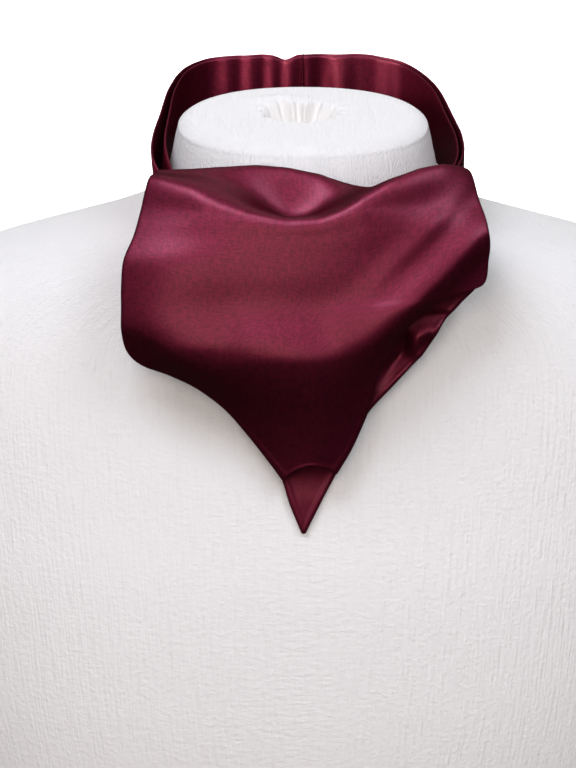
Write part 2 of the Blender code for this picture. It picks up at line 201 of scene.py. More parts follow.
# The knot: a stretch of the long end wrapped round the crossing, closed on itself
KNOT_MIDDLE = (0, -78)
KNOT_HALF = (26, 8.6)
KNOT_TOP, KNOT_BOTTOM = -35, -57
KNOT_BULGE = 1.5
KNOT_ROUND = 0.7              # 1 makes the loop an ellipse, and less gives it squarer corners
KNOT_CREASE = 0.5

# The front blade, from behind the knot up over the top and down the front to its point
BLADE_ROWS = table(
    "left_x left_z left_y right_x right_z right_y middle_y",
    (-20, -58, -67.4, 20, -58, -67.4, -67.4),
    (-24, -47, -64.0, 24, -47, -64.0, -64.2),
    (-32, -31, -62.0, 32, -30, -62.0, -62.4),
    (-60, -14, -66, 62, -9, -66, -68),
    (-64, -14, -72, 69, -10, -73, -80),
    (-67, -18, -77, 72, -14, -75.5, -93),
    (-70, -26, -81.5, 75, -21, -81.5, -97.2),
    (-73, -36, -85.5, 78, -29, -85.5, -99.8),
    (-77, -45, -89, 79.5, -38, -88, -101.9),
    (-78, -55, -91.5, 79, -46, -89.5, -103.9),
    (-78, -65, -93.5, 77, -56, -92, -105.6),
    (-78, -75, -95, 66, -59, -96, -106.8),
    (-76, -84.5, -95.5, 54, -63, -99, -107.4),
    (-70, -91, -94, 45, -71, -100, -107),
    (-58, -96, -92, 37, -82, -99.5, -106.5),
    (-46, -102, -91.5, 32, -94, -98.5, -106),
    (-34, -111, -93, 29, -106, -98.5, -105),
    (-24, -122, -96, 25, -117, -99, -104.5),
    (-15, -133, -99.5, 20, -128, -100.5, -104),
    (-9, -141, -101.5, 14, -138, -101.8, -103.6))
REAR_ROW, HOLLOW_ROW, RIDGE_ROW = 3, 4, 5
RIDGE_FOLLOWS = (0.55, 0.25, 0.1)  # how much of the ridge's drop the next three rows follow
TOP_EDGE = table(
    "x rear ridge",
    (-80, -14, -14),
    (-62, -13.5, -14),
    (-47, -12.5, -16),
    (-35, -11, -20),
    (-21, -9.5, -24),
    (-7, -10.5, -27),
    (7, -13.5, -26),
    (17, -17.5, -22),
    (25, -20.5, -17.5),
    (37, -22, -12),
    (50, -18, -8),
    (60, -13, -7),
    (68, -13, -9),
    (80, -16, -16))
HOLLOW_MIDDLE, HOLLOW_WIDTH, HOLLOW_DEPTH = -5, 19, 12
HOLLOW_SWELL = 1.5            # how far the top edge is rounded up beside the hollow
HEM_RISE = 6                  # how far the lower edge is arched up between its corners
FOLD_BLEND = 2.0              # how softly a fold turns where its route bends
# Folds of the front blade: the route, how far each place stands out, and its reach above and below
FRONT_FOLDS = {
    "belly crest": table(
        "x z out above below",
        (-92, -70, 5.6, 18, 9),
        (-78, -71.5, 5.6, 19, 9),
        (-65, -75.5, 6.2, 19.5, 8),
        (-50, -84.5, 7, 20, 8),
        (-35, -88.5, 7, 19, 14),
        (-20, -85.5, 7.6, 16, 24),
        (-5, -85, 8, 14, 28),
        (10, -84.5, 8, 13, 28),
        (20, -82, 8, 15, 20),
        (29, -77.5, 8, 14, 10),
        (37, -70.5, 7.8, 13, 7),
        (44, -64, 7.2, 12, 6.5),
        (51, -57.5, 7, 11.5, 6.5),
        (59, -50.5, 6.5, 11, 6.5),
        (67, -43, 6, 10, 7),
        (75, -35.5, 5.5, 9, 8),
        (88, -30, 5, 9, 8)),
    "right ridge": table(
        "x z out above below",
        (74, -10, 0.8, 6, 5.5),
        (68, -17, 1.3, 6, 5.5),
        (60, -25, 1.6, 6, 5.5),
        (49, -36, 1.5, 6, 5.5),
        (40, -44, 1.2, 6, 5.5),
        (30, -54, 0.8, 6, 6),
        (20, -63, 0.4, 6, 6),
        (10, -73, 0, 6, 6)),
    "left lobe": table(
        "x z out above below",
        (-92, -45, 3.5, 18, 21),
        (-70, -46, 4.2, 18, 21),
        (-58, -46.5, 4, 18, 21),
        (-46, -45.5, 2.7, 18, 20),
        (-32, -43.5, 0.9, 17, 18),
        (-16, -42, 0, 16, 16)),
    "rim of the hollow": table(
        "x z out above below",
        (-60, -15, 0, 2.5, 5),
        (-40, -19, 1.0, 2.5, 5),
        (-22, -24, 1.0, 2.5, 5),
        (-6, -27.5, 1.0, 2.5, 5),
        (8, -26, 0.9, 2.5, 5),
        (20, -20, 1.4, 2.5, 5),
        (36, -14.5, 1, 2.5, 5),
        (52, -12, 0.6, 2.5, 5),
        (68, -12, 0, 2.5, 5)),
    "streak down the end": table(
        "x z out above below",
        (3, -98, 0, 4, 4),
        (4, -106, 0.8, 4, 4),
        (6, -118, 0.9, 4, 4),
        (6, -131, 0.6, 4, 4))}
# The rolled hem: how far it stands out, how far from the edge its crest is, and its reach
HEM_OUT, HEM_AT, HEM_WIDTH = 0.4, 1.6, 1.3
# Each blade's length, and the shares of it where its hem starts and over which it comes in
FRONT_HEM = (230, 0.7, 0.15)
UNDER_HEM = (135, 0, 0.3)

# The under blade, from inside the knot down to its point on the chest
UNDER_ROWS = table(
    "left_x left_z left_y right_x right_z right_y middle_y",
    (-15, -38, -72.2, 15, -38, -72.2, -71.5),
    (-16, -48, -72.2, 16, -48, -72.2, -71.5),
    (-18, -59, -73.2, 19, -58.5, -73.2, -73.5),
    (-29, -65, -77.5, 38, -60, -78, -79.5),
    (-41, -68, -80, 60, -58, -80, -84),
    (-51, -71, -80.5, 74.5, -58.5, -81, -86),
    (-55, -77, -81, 68, -66, -83, -87.5),
    (-51, -85, -82, 60.5, -74, -85, -89),
    (-44, -94, -85, 52.5, -86.5, -87, -90),
    (-36, -104, -88, 40, -100, -89, -92),
    (-27, -115, -91, 28, -113, -92, -93),
    (-17, -128, -94, 20, -127, -94.5, -95),
    (-10, -141, -94.6, 14, -140, -94.6, -94.9),
    (-6, -153, -97.2, 7.5, -152, -97.2, -97.4),
    (-0.7, -165.5, -99.6, 0.7, -165.5, -99.6, -99.6))
UNDER_FOLDS = {
    "edge of the upper layer": table(
        "x z out above below",
        (66, -69.5, 1.3, 9, 1.2),
        (58, -68.5, 1.4, 9, 1.2),
        (51, -69, 1.4, 9, 1.2),
        (46, -72, 1.2, 8, 1.2),
        (42, -76, 0.5, 7, 1.4)),
    "round fold": table(
        "x z out above below",
        (66, -78, 2.6, 4.2, 5),
        (57, -77.5, 3.6, 4.2, 5),
        (50, -80, 3.6, 4.2, 4),
        (48.5, -84.5, 3.0, 4, 3.5),
        (51, -89, 1.5, 4, 3)),
    "pocket": table(
        "x z out above below",
        (43, -81, -2, 3, 3.5),
        (42.5, -87, -3.2, 4, 3.5),
        (37.5, -93, -2.2, 4, 4),
        (33, -99, -0.5, 4, 4)),
    "lower strip": table(
        "x z out above below",
        (52, -90, 0.5, 3, 4),
        (42, -97, 1.2, 3, 4),
        (34, -104, 0.8, 3, 4))}

# The grids: for each direction, how many places, and the share at each end that the round edge takes
BAND_GRID = ((230, 0.003), (64, 0.012))
KNOT_GRID = (30, 0.03)
FRONT_GRID = ((170, 0.007), (200, 0.0045))
UNDER_GRID = ((120, 0.009), (130, 0.007))
KNOT_COLUMNS = 120
FORM_COLUMNS = 192
FORM_ROWS = (90, 80, 70)      # below the neck, up the neck, and in to the pit's middle


def linear(hex_colour):
    """An sRGB colour such as 7A1B38 as linear red, green and blue."""
    values = np.array([int(hex_colour[at:at + 2], 16) for at in (0, 2, 4)]) / 255
    light = np.where(values <= 0.04045, values / 12.92, ((values + 0.055) / 1.055) ** 2.4)
    return tuple(float(v) for v in light)


def through(stations, at):
    """Catmull-Rom curve through equally spaced stations, read at fractional places."""
    stations = np.asarray(stations, float)
    last = len(stations) - 1
    at = np.clip(np.asarray(at, float), 0, last)
    low = np.minimum(np.floor(at).astype(int), last - 1)
    part = (at - low).reshape(at.shape + (1,) * (stations.ndim - 1))
    before, here = stations[np.maximum(low - 1, 0)], stations[low]
    there, after = stations[low + 1], stations[np.minimum(low + 2, last)]
    return 0.5 * (2 * here + (there - before) * part
                  + (2 * before - 5 * here + 4 * there - after) * part ** 2
                  + (3 * here - before - 3 * there + after) * part ** 3)


def resample(rows, at):
    """The table's columns read at the given places, 0 to 1, along its rows."""
    last = len(next(iter(rows.values()))) - 1
    return {name: through(values, np.asarray(at) * last) for name, values in rows.items()}


def smooth_read(x, places, values, softness=3.0):
    """Values between unevenly spaced places, as the average of a broken line over a soft window."""
    offsets = np.linspace(-1, 1, 9)
    weights = np.cos(offsets * np.pi / 2) ** 2 + 0.01
    reads = np.stack([np.interp(x + softness * offset, places, values) for offset in offsets], -1)
    return (reads * weights).sum(-1) / weights.sum()


def bump(distance, width):
    """A soft hump: 1 at the middle, down to 0 over about twice the width."""
    return np.exp(-(distance / width) ** 2)


def ramp(value, start, reach):
    """0 up to the start and 1 from the end of its reach, with a straight line between."""
    return np.clip((value - start) / reach, 0, 1)


def superellipse(angle, power):
    """Across and back on a loop of reach 1, which is a circle at power 1 and squarer below it."""
    return [np.sign(place) * np.abs(place) ** power for place in (np.cos(angle), np.sin(angle))]


def relief(route, x, z):
    """How far a fold stands out at each x, z: a bell curve of the distance from its smooth route.

    The route is many short straight pieces. The height, and the width on each side, come from the route's
    table. Where two stretches of the route are nearly as near, their bells are blended, so no crease shows.
    """
    pieces = 6 * (len(route["x"]) - 1)
    line = resample(route, np.linspace(0, 1, pieces + 1))
    step_x, step_z = np.diff(line["x"]), np.diff(line["z"])
    from_x, from_z = x[..., None] - line["x"][:-1], z[..., None] - line["z"][:-1]
    share = np.clip((from_x * step_x + from_z * step_z) / (step_x ** 2 + step_z ** 2), 0, 1)
    gap = np.hypot(from_x - share * step_x, from_z - share * step_z)
    above = (step_x * from_z - step_z * from_x) * np.where(step_x < 0, -1, 1) / np.hypot(step_x, step_z)
    side = (1 + above / np.maximum(gap, 1e-9)) / 2
    out, wide_above, wide_below = (line[name][:-1] + share * np.diff(line[name])
                                   for name in ("out", "above", "below"))
    bells = out * bump(gap, wide_below + (wide_above - wide_below) * side)
    weights = np.exp((gap.min(-1, keepdims=True) - gap) / FOLD_BLEND)
    return (bells * weights).sum(-1) / weights.sum(-1)


def world(x, y, z):
    """Millimetres, with heights from the neck's top, to metres from the base."""
    x, y, z = np.broadcast_arrays(np.asarray(x, float), y, z)
    return np.stack([x * MM, y * MM, NECK_HEIGHT + z * MM], -1)


def even_with_edges(count, edge):
    """Places from 0 to 1, even in the middle and packed inside the given share at both ends.

    With them goes how full the wall is at each: 0 at the two ends, and 1 inside, along a quarter circle.
    """
    rim = edge * np.array([0, 0.12, 0.4, 1.0])
    places = np.concatenate([rim, np.linspace(edge, 1 - edge, count)[1:-1], 1 - rim[::-1]])
    inward = ramp(np.minimum(places, 1 - places), 0, edge)
    return places, np.sqrt(1 - (1 - inward) ** 2)


def grid_normals(points):
    """Unit normals of a grid, from the cross product of its two directions."""
    normals = np.cross(np.gradient(points, axis=1), np.gradient(points, axis=0))
    return normals / np.maximum(np.linalg.norm(normals, axis=-1, keepdims=True), 1e-12)


def grid_faces(rows, columns, around=False, first=0):
    """Four-sided faces over a grid of vertices, joined round if its last column meets its first."""
    row, column = np.meshgrid(np.arange(rows - 1), np.arange(columns - (not around)), indexing="ij")
    right = (column + 1) % columns
    faces = np.stack([row * columns + column, row * columns + right,
                      (row + 1) * columns + right, (row + 1) * columns + column], -1)
    return faces.reshape(-1, 4) + first


def make_piece(name, points, faces, material, uv=None):
    """A smooth mesh object at the origin that rides on the part's one body.

    A face that ends in -1 has three corners. The map, if there is one, has a place for each vertex, or one
    for each corner of each face.
    """
    mesh = bpy.data.meshes.new(name)
    faces = [tuple(int(v) for v in face if v >= 0) for face in faces]
    mesh.from_pydata(np.asarray(points).reshape(-1, 3), [], faces)
    if uv is not None:
        layer = mesh.uv_layers.new(name="cloth")
        corners = np.zeros(len(mesh.loops), int)
        mesh.loops.foreach_get("vertex_index", corners)
        uv = np.asarray(uv, float).reshape(-1, 2)
        layer.data.foreach_set("uv", (uv if len(uv) == len(corners) else uv[corners]).ravel())
    mesh.materials.append(material)
    mesh.shade_smooth()
    obj = bpy.data.objects.new(name, mesh)
    bpy.context.scene.collection.objects.link(obj)
    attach(obj, "root")
    return obj


def shell(name, points, wall, fullness, material, uv):
    """A cloth wall about a grid: its two faces stand half a wall from it, and close in a round edge."""
    rows, columns = points.shape[:2]
    half = 0.5 * wall * fullness[..., None] * grid_normals(points)
    front, back = points + half, points - half
    count = rows * columns
    faces = np.concatenate([grid_faces(rows, columns)[:, ::-1], grid_faces(rows, columns, first=count)])
    index = np.arange(2 * count).reshape(2, rows, columns)
    rim = np.ones((rows, columns), bool)
    rim[1:-1, 1:-1] = False
    same = np.arange(2 * count)
    same[index[1][rim]] = index[0][rim]
    both = np.concatenate([front.reshape(-1, 3), back.reshape(-1, 3)])
    both[index[0][rim]] = points[rim]
    kept, renumbered = np.unique(same, return_inverse=True)
    faces = renumbered[faces]
    uv = np.concatenate([uv.reshape(-1, 2), uv.reshape(-1, 2)])[kept]
    return make_piece(name, both[kept], faces, material, uv)


def cloth_uv(points):
    """Lengths along the cloth in metres: across each row and down each column, as the weave runs."""
    across = np.linalg.norm(np.diff(points, axis=1), axis=-1)
    down = np.linalg.norm(np.diff(points, axis=0), axis=-1)
    across = np.concatenate([np.zeros((len(points), 1)), np.cumsum(across, 1)], 1)
    across -= across[:, across.shape[1] // 2][:, None]
    down = np.concatenate([np.zeros((1, points.shape[1])), np.cumsum(down, 0)], 0)
    return np.stack([across, down], -1)


def spread(rows, side):
    """Each row as an arc from its left end to its right one, with its middle brought forward."""
    share = (side + 1) / 2
    x = rows["left_x"][:, None] + (rows["right_x"] - rows["left_x"])[:, None] * share
    z = rows["left_z"][:, None] + (rows["right_z"] - rows["left_z"])[:, None] * share
    ends = rows["left_y"][:, None] + (rows["right_y"] - rows["left_y"])[:, None] * share
    forward = (rows["middle_y"] - (rows["left_y"] + rows["right_y"]) / 2)[:, None]
    return x, ends + forward * (1 - np.abs(side) ** 2.2), z


def folded(x, y, z, folds, weight):
    """The surface with its folds, which stand forward of it where their height is positive."""
    return y - weight * sum(relief(route, x, z) for route in folds.values())


def hem(across, down, x, length, start, reach):
    """How far the rolled hem stands out: a ridge that runs inside both sides and the lower end."""
    sides = np.minimum(across, 1 - across) * np.ptp(x, axis=1)[:, None]
    end = (1 - down)[:, None] * length
    return ramp(down, start, reach)[:, None] * HEM_OUT * bump(np.minimum(sides, end) - HEM_AT, HEM_WIDTH)


def blade_points(across, down, depth):
    """The rows joined by smooth lines: up behind the knot, over the hollow and its ridge, and down."""
    side = 2 * across - 1
    x, y, z = spread(BLADE_ROWS, side)
    rear = smooth_read(x[REAR_ROW], TOP_EDGE["x"], TOP_EDGE["rear"])
    ridge = smooth_read(x[RIDGE_ROW], TOP_EDGE["x"], TOP_EDGE["ridge"])
    dip = HOLLOW_DEPTH * bump(x[HOLLOW_ROW] - HOLLOW_MIDDLE, HOLLOW_WIDTH)
    z[REAR_ROW] = rear
    z[RIDGE_ROW] = ridge
    z[HOLLOW_ROW] = (rear + ridge) / 2 + HOLLOW_SWELL - dip
    drop = np.minimum(ridge - BLADE_ROWS["left_z"][RIDGE_ROW], 0)
    for row, share in enumerate(RIDGE_FOLLOWS, RIDGE_ROW + 1):
        z[row] += drop * share
    at = down * (len(x) - 1)
    x, y, z = (through(values, at) for values in (x, y, z))
    z = z + HEM_RISE * ramp(down, 0.8, 0.2)[:, None] ** 1.5 * (1 - side ** 2)
    y = y - hem(across, down, x, *FRONT_HEM)
    face = ramp(at, RIDGE_ROW - 0.5, 2)[:, None]
    return world(x, folded(x, y, z, FRONT_FOLDS, face * depth), z)


def under_points(across, down, depth):
    """A fan of cloth from the knot, narrowing to the point, with the folds that show at its right side."""
    x, y, z = spread(UNDER_ROWS, 2 * across - 1)
    at = down * (len(x) - 1)
    x, y, z = (through(values, at) for values in (x, y, z))
    y = y - hem(across, down, x, *UNDER_HEM)
    return world(x, folded(x, y, z, UNDER_FOLDS, depth), z)


def form_height(x, y):
    """Height of the form's surface below each x, y, where a level ring of the form passes through it."""
    reach = np.where(y[..., None] < 0, FORM_RINGS["front"], FORM_RINGS["back"])
    inside = ((np.abs(x)[..., None] / FORM_RINGS["side"]) ** FORM_RINGS["square"]
              + (np.abs(y)[..., None] / reach) ** FORM_RINGS["square"])
    first_out = np.argmax(inside > 1, axis=-1)
    low, high = (np.take_along_axis(inside, (first_out - step)[..., None], -1)[..., 0] for step in (1, 0))
    share = (1 - low) / (high - low)
    heights = FORM_RINGS["height"]
    return heights[first_out - 1] + share * (heights[first_out] - heights[first_out - 1])


def band_points(route, side, along, around):
    """A strip folded lengthwise in a U, open upwards, that stands on its fold along the route.

    The first half of around runs down the inner layer, the second up the outer. The layers part upwards by
    the row's gap, and the waves at the back of the neck push both of them in and out.
    """
    rows = resample(route, along)
    x, y = rows["x"], rows["y"]
    x[0] = side * SEAM_HALF_GAP
    line = np.stack([np.gradient(x), np.gradient(y)], -1)
    line /= np.linalg.norm(line, axis=-1, keepdims=True)
    line[0] = side, 0
    outward = np.stack([line[:, 1], -line[:, 0]], -1) * -side
    at_back = ramp(y, WAVES_FROM, WAVES_REACH)
    waves = list(zip(*BAND_WAVES.values()))
    places = [((x - middle) / width, push, down) for middle, width, push, down in waves]
    out = sum(-at_back * push * t * np.exp((1 - t ** 2) / 2) for t, push, _ in places)
    dip = sum(at_back * down * bump(t, 1.6) for t, _, down in places)
    foot_x, foot_y = x - BAND_FOOT * outward[:, 0], y - BAND_FOOT * outward[:, 1]
    root = np.maximum(form_height(foot_x, foot_y), form_height(x, y)) + BAND_CLEARANCE
    height = np.minimum(rows["height"], rows["top"] - root)
    start, end = BAND_FOLD
    turn = ramp(around, start, end - start)
    up = np.where(around < start, 1 - around / start, ramp(around, end, 1 - end))
    spacing = BAND_SPACING + (rows["gap"] - BAND_SPACING)[:, None] * up ** 0.7
    across = -0.5 * spacing * np.cos(np.pi * turn)
    z = (rows["top"] - dip)[:, None] - height[:, None] * (1 - up)
    z = z + BAND_SPACING / 2 * (1 - np.sin(np.pi * turn)) + OUTER_RISE * (turn > 0.5) * up
    push = out[:, None] * np.sin(np.pi * (0.25 + 0.6 * up)) + across
    return world(x[:, None] + outward[:, :1] * push, y[:, None] + outward[:, 1:] * push, z)


def tube(line, radius, sides=6):
    """Rings round a line of points, as vertices and faces, closed to a point at both ends."""
    step = np.gradient(line, axis=0)
    step /= np.linalg.norm(step, axis=-1, keepdims=True)
    first = np.cross(step, (0.3, 0.9, 0.2))
    first /= np.linalg.norm(first, axis=-1, keepdims=True)
    second = np.cross(step, first)
    turn = 2 * np.pi * np.arange(sides) / sides
    full = radius * np.sqrt(np.clip(1 - np.linspace(-1, 1, len(line)) ** 6, 0.01, 1))[:, None, None]
    out = first[:, None] * np.cos(turn)[:, None] + second[:, None] * np.sin(turn)[:, None]
    return (line[:, None] + full * out).reshape(-1, 3), grid_faces(len(line), sides, around=True)


def stitches(length):
    """The back seam's thread: arched stitches down the band's inner face, and one loose end on top."""
    inner_face, top, foot = SEAM_FACE
    along = np.linspace(-1, 1, 9)
    across, arch = STITCH_SHARE * along * length / MM, 0.25 - STITCH_ARCH * (1 - along ** 2)
    lines = [world(across, inner_face + arch, z + 0.25 * along)
             for z in np.arange(top - 1.4, foot, -STITCH_STEP * length / MM)]
    up = np.linspace(0, 1, 12)
    lines.append(world(0.9 * np.sin(2.2 * up) - 0.4, inner_face + 0.8, top - 0.4 + LOOSE_END * up))
    pieces = [tube(line, THREAD_RADIUS) for line in lines]
    starts = np.cumsum([0] + [len(points) for points, _ in pieces[:-1]])
    return (np.concatenate([points for points, _ in pieces]),
            np.concatenate([faces + start for (_, faces), start in zip(pieces, starts)]))


def knot_points(around, up):
    """A level loop with squarish corners, which bulges at its front, with creases that slant across it."""
    angle = 2 * np.pi * around
    up = up[:, None]
    across, depth = superellipse(angle, KNOT_ROUND)
    front = np.maximum(-np.sin(angle), 0)
    creases = KNOT_CREASE * np.cos(6 * np.pi * (up - 0.12 * np.cos(angle))) ** 8
    swell = front * (KNOT_BULGE * np.sin(np.pi * up) - creases)
    return world(KNOT_MIDDLE[0] + KNOT_HALF[0] * across,
                 KNOT_MIDDLE[1] + KNOT_HALF[1] * depth - swell,
                 KNOT_BOTTOM + (KNOT_TOP - KNOT_BOTTOM) * up)


def gathered_top(rim_x, rim_y, inward):
    """Rings inside the neck's rim: the tilted top, less a pit with steep gathered sides.

    The pit's depth follows a smooth step of the distance from its middle, and that distance wavers round
    the pit as the gathers do.
    """
    x = DIMPLE_AT[0] + (rim_x - DIMPLE_AT[0]) * inward
    y = DIMPLE_AT[1] + (rim_y - DIMPLE_AT[1]) * inward
    from_x, from_y = (x - DIMPLE_AT[0]) / DIMPLE_HALF[0], (y - DIMPLE_AT[1]) / DIMPLE_HALF[1]
    turn = np.arctan2(from_y, from_x)
    gap = np.hypot(from_x, from_y)
    uneven = 2 * np.sin(turn) + 1.5 * np.sin(2 * turn + 1)
    waver = np.cos(GATHERS * turn + uneven) * (0.65 + 0.35 * np.sin(turn))
    tuck = 0.3 * bump(from_x - 0.05, 0.45) * np.clip(np.sin(turn), 0, 1)
    gap = gap + (GATHER_WAVER * waver + tuck) * ramp(gap, 0, 0.3)
    rise = ramp(gap, *PIT_SIDE)
    pit = DIMPLE_DEPTH * (1 - rise ** 2 * (3 - 2 * rise))
    crease = GATHER_CREASE * waver * bump(gap - 1.1, 0.3)
    bunch_x, bunch_y, bunch_along, bunch_deep, bunch_up = BUNCH
    bunch = bunch_up * bump(np.hypot((x - bunch_x) / bunch_along, (y - bunch_y) / bunch_deep), 1)
    return x, y, NECK_TILT * y - pit + crease + bunch


def form_rings(around, levels, inward):
    """Rings of a superellipse whose front and back reach differ, closed over a gathered pit at the top."""
    rows = resample(FORM_RINGS, levels)
    column = {name: values[:, None] for name, values in rows.items()}
    across, depth = superellipse(2 * np.pi * around, 2 / column["square"])
    x = column["side"] * across
    height, reach, out = RIM_BEAD
    bead = out * bump(column["height"] - height, reach) / NECK_RADIUS
    nub_x, nub_z, nub_reach, nub_out = SEAM_NUB
    nub_gap = np.hypot(x - nub_x, column["height"] - nub_z)
    nub = nub_out * bump(nub_gap, nub_reach) * (depth < 0) / NECK_RADIUS
    x = x * (1 + bead)
    y = np.where(depth < 0, column["front"], column["back"]) * depth * (1 + bead + nub)
    z = column["height"] + NECK_TILT * y * ramp(column["height"], TILT_FROM, TILT_REACH)
    top = gathered_top(x[-1], y[-1], inward[:, None])
    return world(*(np.concatenate(pair) for pair in zip((x, y, z), top)))


def form_mesh():
    """The form's points, faces and map: its rings, a flat base, and a fan round the pit's middle."""
    around = np.linspace(0, 1, FORM_COLUMNS, endpoint=False)
    below, neck, pit = FORM_ROWS
    levels = np.concatenate([np.linspace(0, NECK_SHARE, below), np.linspace(NECK_SHARE, 1, neck)[1:]])
    rings = form_rings(around, levels, 1 - np.linspace(0, 1, pit)[1:-1] ** 0.8)
    centre = world(*DIMPLE_AT, NECK_TILT * DIMPLE_AT[1] - DIMPLE_DEPTH)
    points = np.concatenate([rings.reshape(-1, 3), [centre]])
    rows, columns = rings.shape[:2]
    ring = (rows - 1) * columns + np.arange(columns)
    fan = np.stack(np.broadcast_arrays(ring, np.roll(ring, -1), rows * columns, -1), -1)
    faces = np.concatenate([grid_faces(rows, columns, around=True), fan])
    base = tuple(range(columns))[::-1]
    # The map follows the rings up to the rim, and is flat over the top
    length = np.cumsum(np.concatenate([[0], np.linalg.norm(np.diff(rings[:, 0], axis=0), axis=-1)]))
    uv = np.stack(np.broadcast_arrays(HALF_GIRTH * np.abs(2 * around - 1), length[:, None]), -1)
    uv[len(levels):] = rings[len(levels):, :, :2]
    corners = np.concatenate([faces[faces >= 0], base])
    uv = np.concatenate([uv.reshape(-1, 2), [centre[:2]]])[corners]
    # The faces that meet the rim from above are mapped flat at all four corners
    rim = slice(4 * columns * (len(levels) - 1), 4 * columns * len(levels))
    uv[rim] = points[corners[rim], :2]
    return points, [*faces, base], uv


def set_inputs(tree, node, **inputs):
    """Sets a node's inputs to values, or links them from sockets. A name such as i0 stands for a number."""
    for name, value in inputs.items():
        numbered = name[0] == "i" and name[1:].isdigit()
        socket = node.inputs[int(name[1:]) if numbered else name.replace("_", " ")]
        if isinstance(value, bpy.types.NodeSocket):
            tree.links.new(value, socket)
        else:
            socket.default_value = value


def add_node(tree, kind, settings=None, **inputs):
    """A node with its settings and inputs."""
    node = tree.nodes.new(kind)
    for name, value in (settings or {}).items():
        setattr(node, name, value)
    set_inputs(tree, node, **inputs)
    return node


def new_material(name):
    """An empty material with its shader."""
    material = bpy.data.materials.new(name)
    material.use_nodes = True
    return material, material.node_tree, material.node_tree.nodes["Principled BSDF"]


def stretched_noise(tree, uv, scale, **inputs):
    """The height of a noise over the cloth's map, with its own scale in each direction."""
    stretch = add_node(tree, "ShaderNodeMapping", Vector=uv, Scale=(*scale, 1))
    noise = add_node(tree, "ShaderNodeTexNoise", Vector=stretch.outputs["Vector"], Scale=1.0, **inputs)
    return noise.outputs["Fac"]


def shade_between(tree, shader, factor, colour, shades):
    """Lets the shader's colour go from its darker to its lighter shade with the factor."""
    dark, light = ((*np.minimum(np.array(colour) * share, 1), 1) for share in shades)
    shade = add_node(tree, "ShaderNodeMix", {"data_type": "RGBA"}, Factor=factor, A=dark, B=light)
    set_inputs(tree, shader, Base_Color=shade.outputs["Result"])


def satin_material(name, finish):
    """Dyed silk satin: long floats that shine softly across the cloth over a deep, almost black red."""
    material, tree, shader = new_material(name)
    uv = add_node(tree, "ShaderNodeUVMap", {"uv_map": "cloth"}).outputs["UV"]
    slubs = stretched_noise(tree, uv, [each / MM for each in SLUBS], Detail=2.0, Roughness=0.6)
    cross = stretched_noise(tree, uv, [each / MM for each in CROSS_GRAIN], Detail=1.0, Roughness=0.5)
    grain = add_node(tree, "ShaderNodeMath", {"operation": "ADD"}, i0=slubs, i1=cross).outputs[0]
    depth = add_node(tree, "ShaderNodeMapRange", Value=grain, From_Min=0.75, From_Max=1.25,
                     To_Min=0.0, To_Max=1.0)
    shade_between(tree, shader, depth.outputs["Result"], finish.satin_colour, SATIN_SHADES)
    relief = add_node(tree, "ShaderNodeBump", Height=grain, Strength=0.2, Distance=0.1 * MM)
    set_inputs(tree, shader, Normal=relief.outputs["Normal"], Metallic=0.9, Roughness=0.48,
               Specular_IOR_Level=0.5, Specular_Tint=(*linear(SATIN_EDGE), 1), Coat_Weight=0.36,
               Coat_Roughness=0.36, Coat_Tint=(*finish.sheen_colour, 1))
    return material


def jersey_material(finish):
    """White cotton jersey stretched over foam: matt, with fine wales that run up the form."""
    material, tree, shader = new_material("white_cotton_jersey")
    uv = add_node(tree, "ShaderNodeUVMap", {"uv_map": "cloth"}).outputs["UV"]
    wales = stretched_noise(tree, uv, [1 / (each * MM) for each in WALES], Detail=1.0)
    cotton = add_node(tree, "ShaderNodeTexNoise", Vector=uv, Scale=0.5 / MM, Detail=3.0, Roughness=0.6)
    grain = add_node(tree, "ShaderNodeMath", {"operation": "ADD"}, i0=wales,
                     i1=cotton.outputs["Fac"]).outputs[0]
    shade_between(tree, shader, grain, finish.jersey_colour, JERSEY_SHADES)
    relief = add_node(tree, "ShaderNodeBump", Height=grain, Strength=0.6, Distance=1.0 * MM)
    set_inputs(tree, shader, Normal=relief.outputs["Normal"], Roughness=0.92, Specular_IOR_Level=0.2,
               Sheen_Weight=0.15)
    return material


def add_lamp(scene, row, target):
    """A soft rectangular lamp that faces the target."""
    lamp = bpy.data.objects.new(row["name"], bpy.data.lights.new(row["name"], "AREA"))
    lamp.data.shape = "RECTANGLE"
    lamp.data.energy = row["power"]
    lamp.data.size, lamp.data.size_y = row["size"]
    lamp.data.color = linear(row["colour"])
    lamp.location = row["place"]
    lamp.rotation_euler = (target - Vector(row["place"])).to_track_quat("-Z", "Y").to_euler()
    scene.collection.objects.link(lamp)
    return lamp


def add_floor(scene):
    """The studio floor, which the satin doesn't mirror."""
    material, tree, shader = new_material("pale_painted_floor")
    set_inputs(tree, shader, Base_Color=(*scene.cravat_finish.floor_colour, 1), Roughness=0.9)
    mesh = bpy.data.meshes.new("floor")
    corners = [(FLOOR_REACH * x, FLOOR_REACH * y, 0) for x, y in ((-1, -1), (1, -1), (1, 1), (-1, 1))]
    mesh.from_pydata(corners, [], [(0, 1, 2, 3)])
    mesh.materials.append(material)
    floor = bpy.data.objects.new("floor", mesh)
    scene.collection.objects.link(floor)
    floor.visible_glossy = False


def add_sky(scene):
    """Soft light from all round, stronger overhead."""
    scene.world = bpy.data.worlds.new("studio_air")
    scene.world.use_nodes = True
    tree = scene.world.node_tree
    place = add_node(tree, "ShaderNodeTexCoord")
    height = add_node(tree, "ShaderNodeSeparateXYZ", Vector=place.outputs["Generated"])
    glow = add_node(tree, "ShaderNodeMapRange", {"interpolation_type": "SMOOTHSTEP"},
                    Value=height.outputs["Z"], From_Min=0.1, From_Max=0.95,
                    To_Min=SKY_AT_HORIZON, To_Max=SKY_OVERHEAD)
    set_inputs(tree, tree.nodes["Background"], Strength=glow.outputs["Result"], Color=(1, 1, 1, 1))


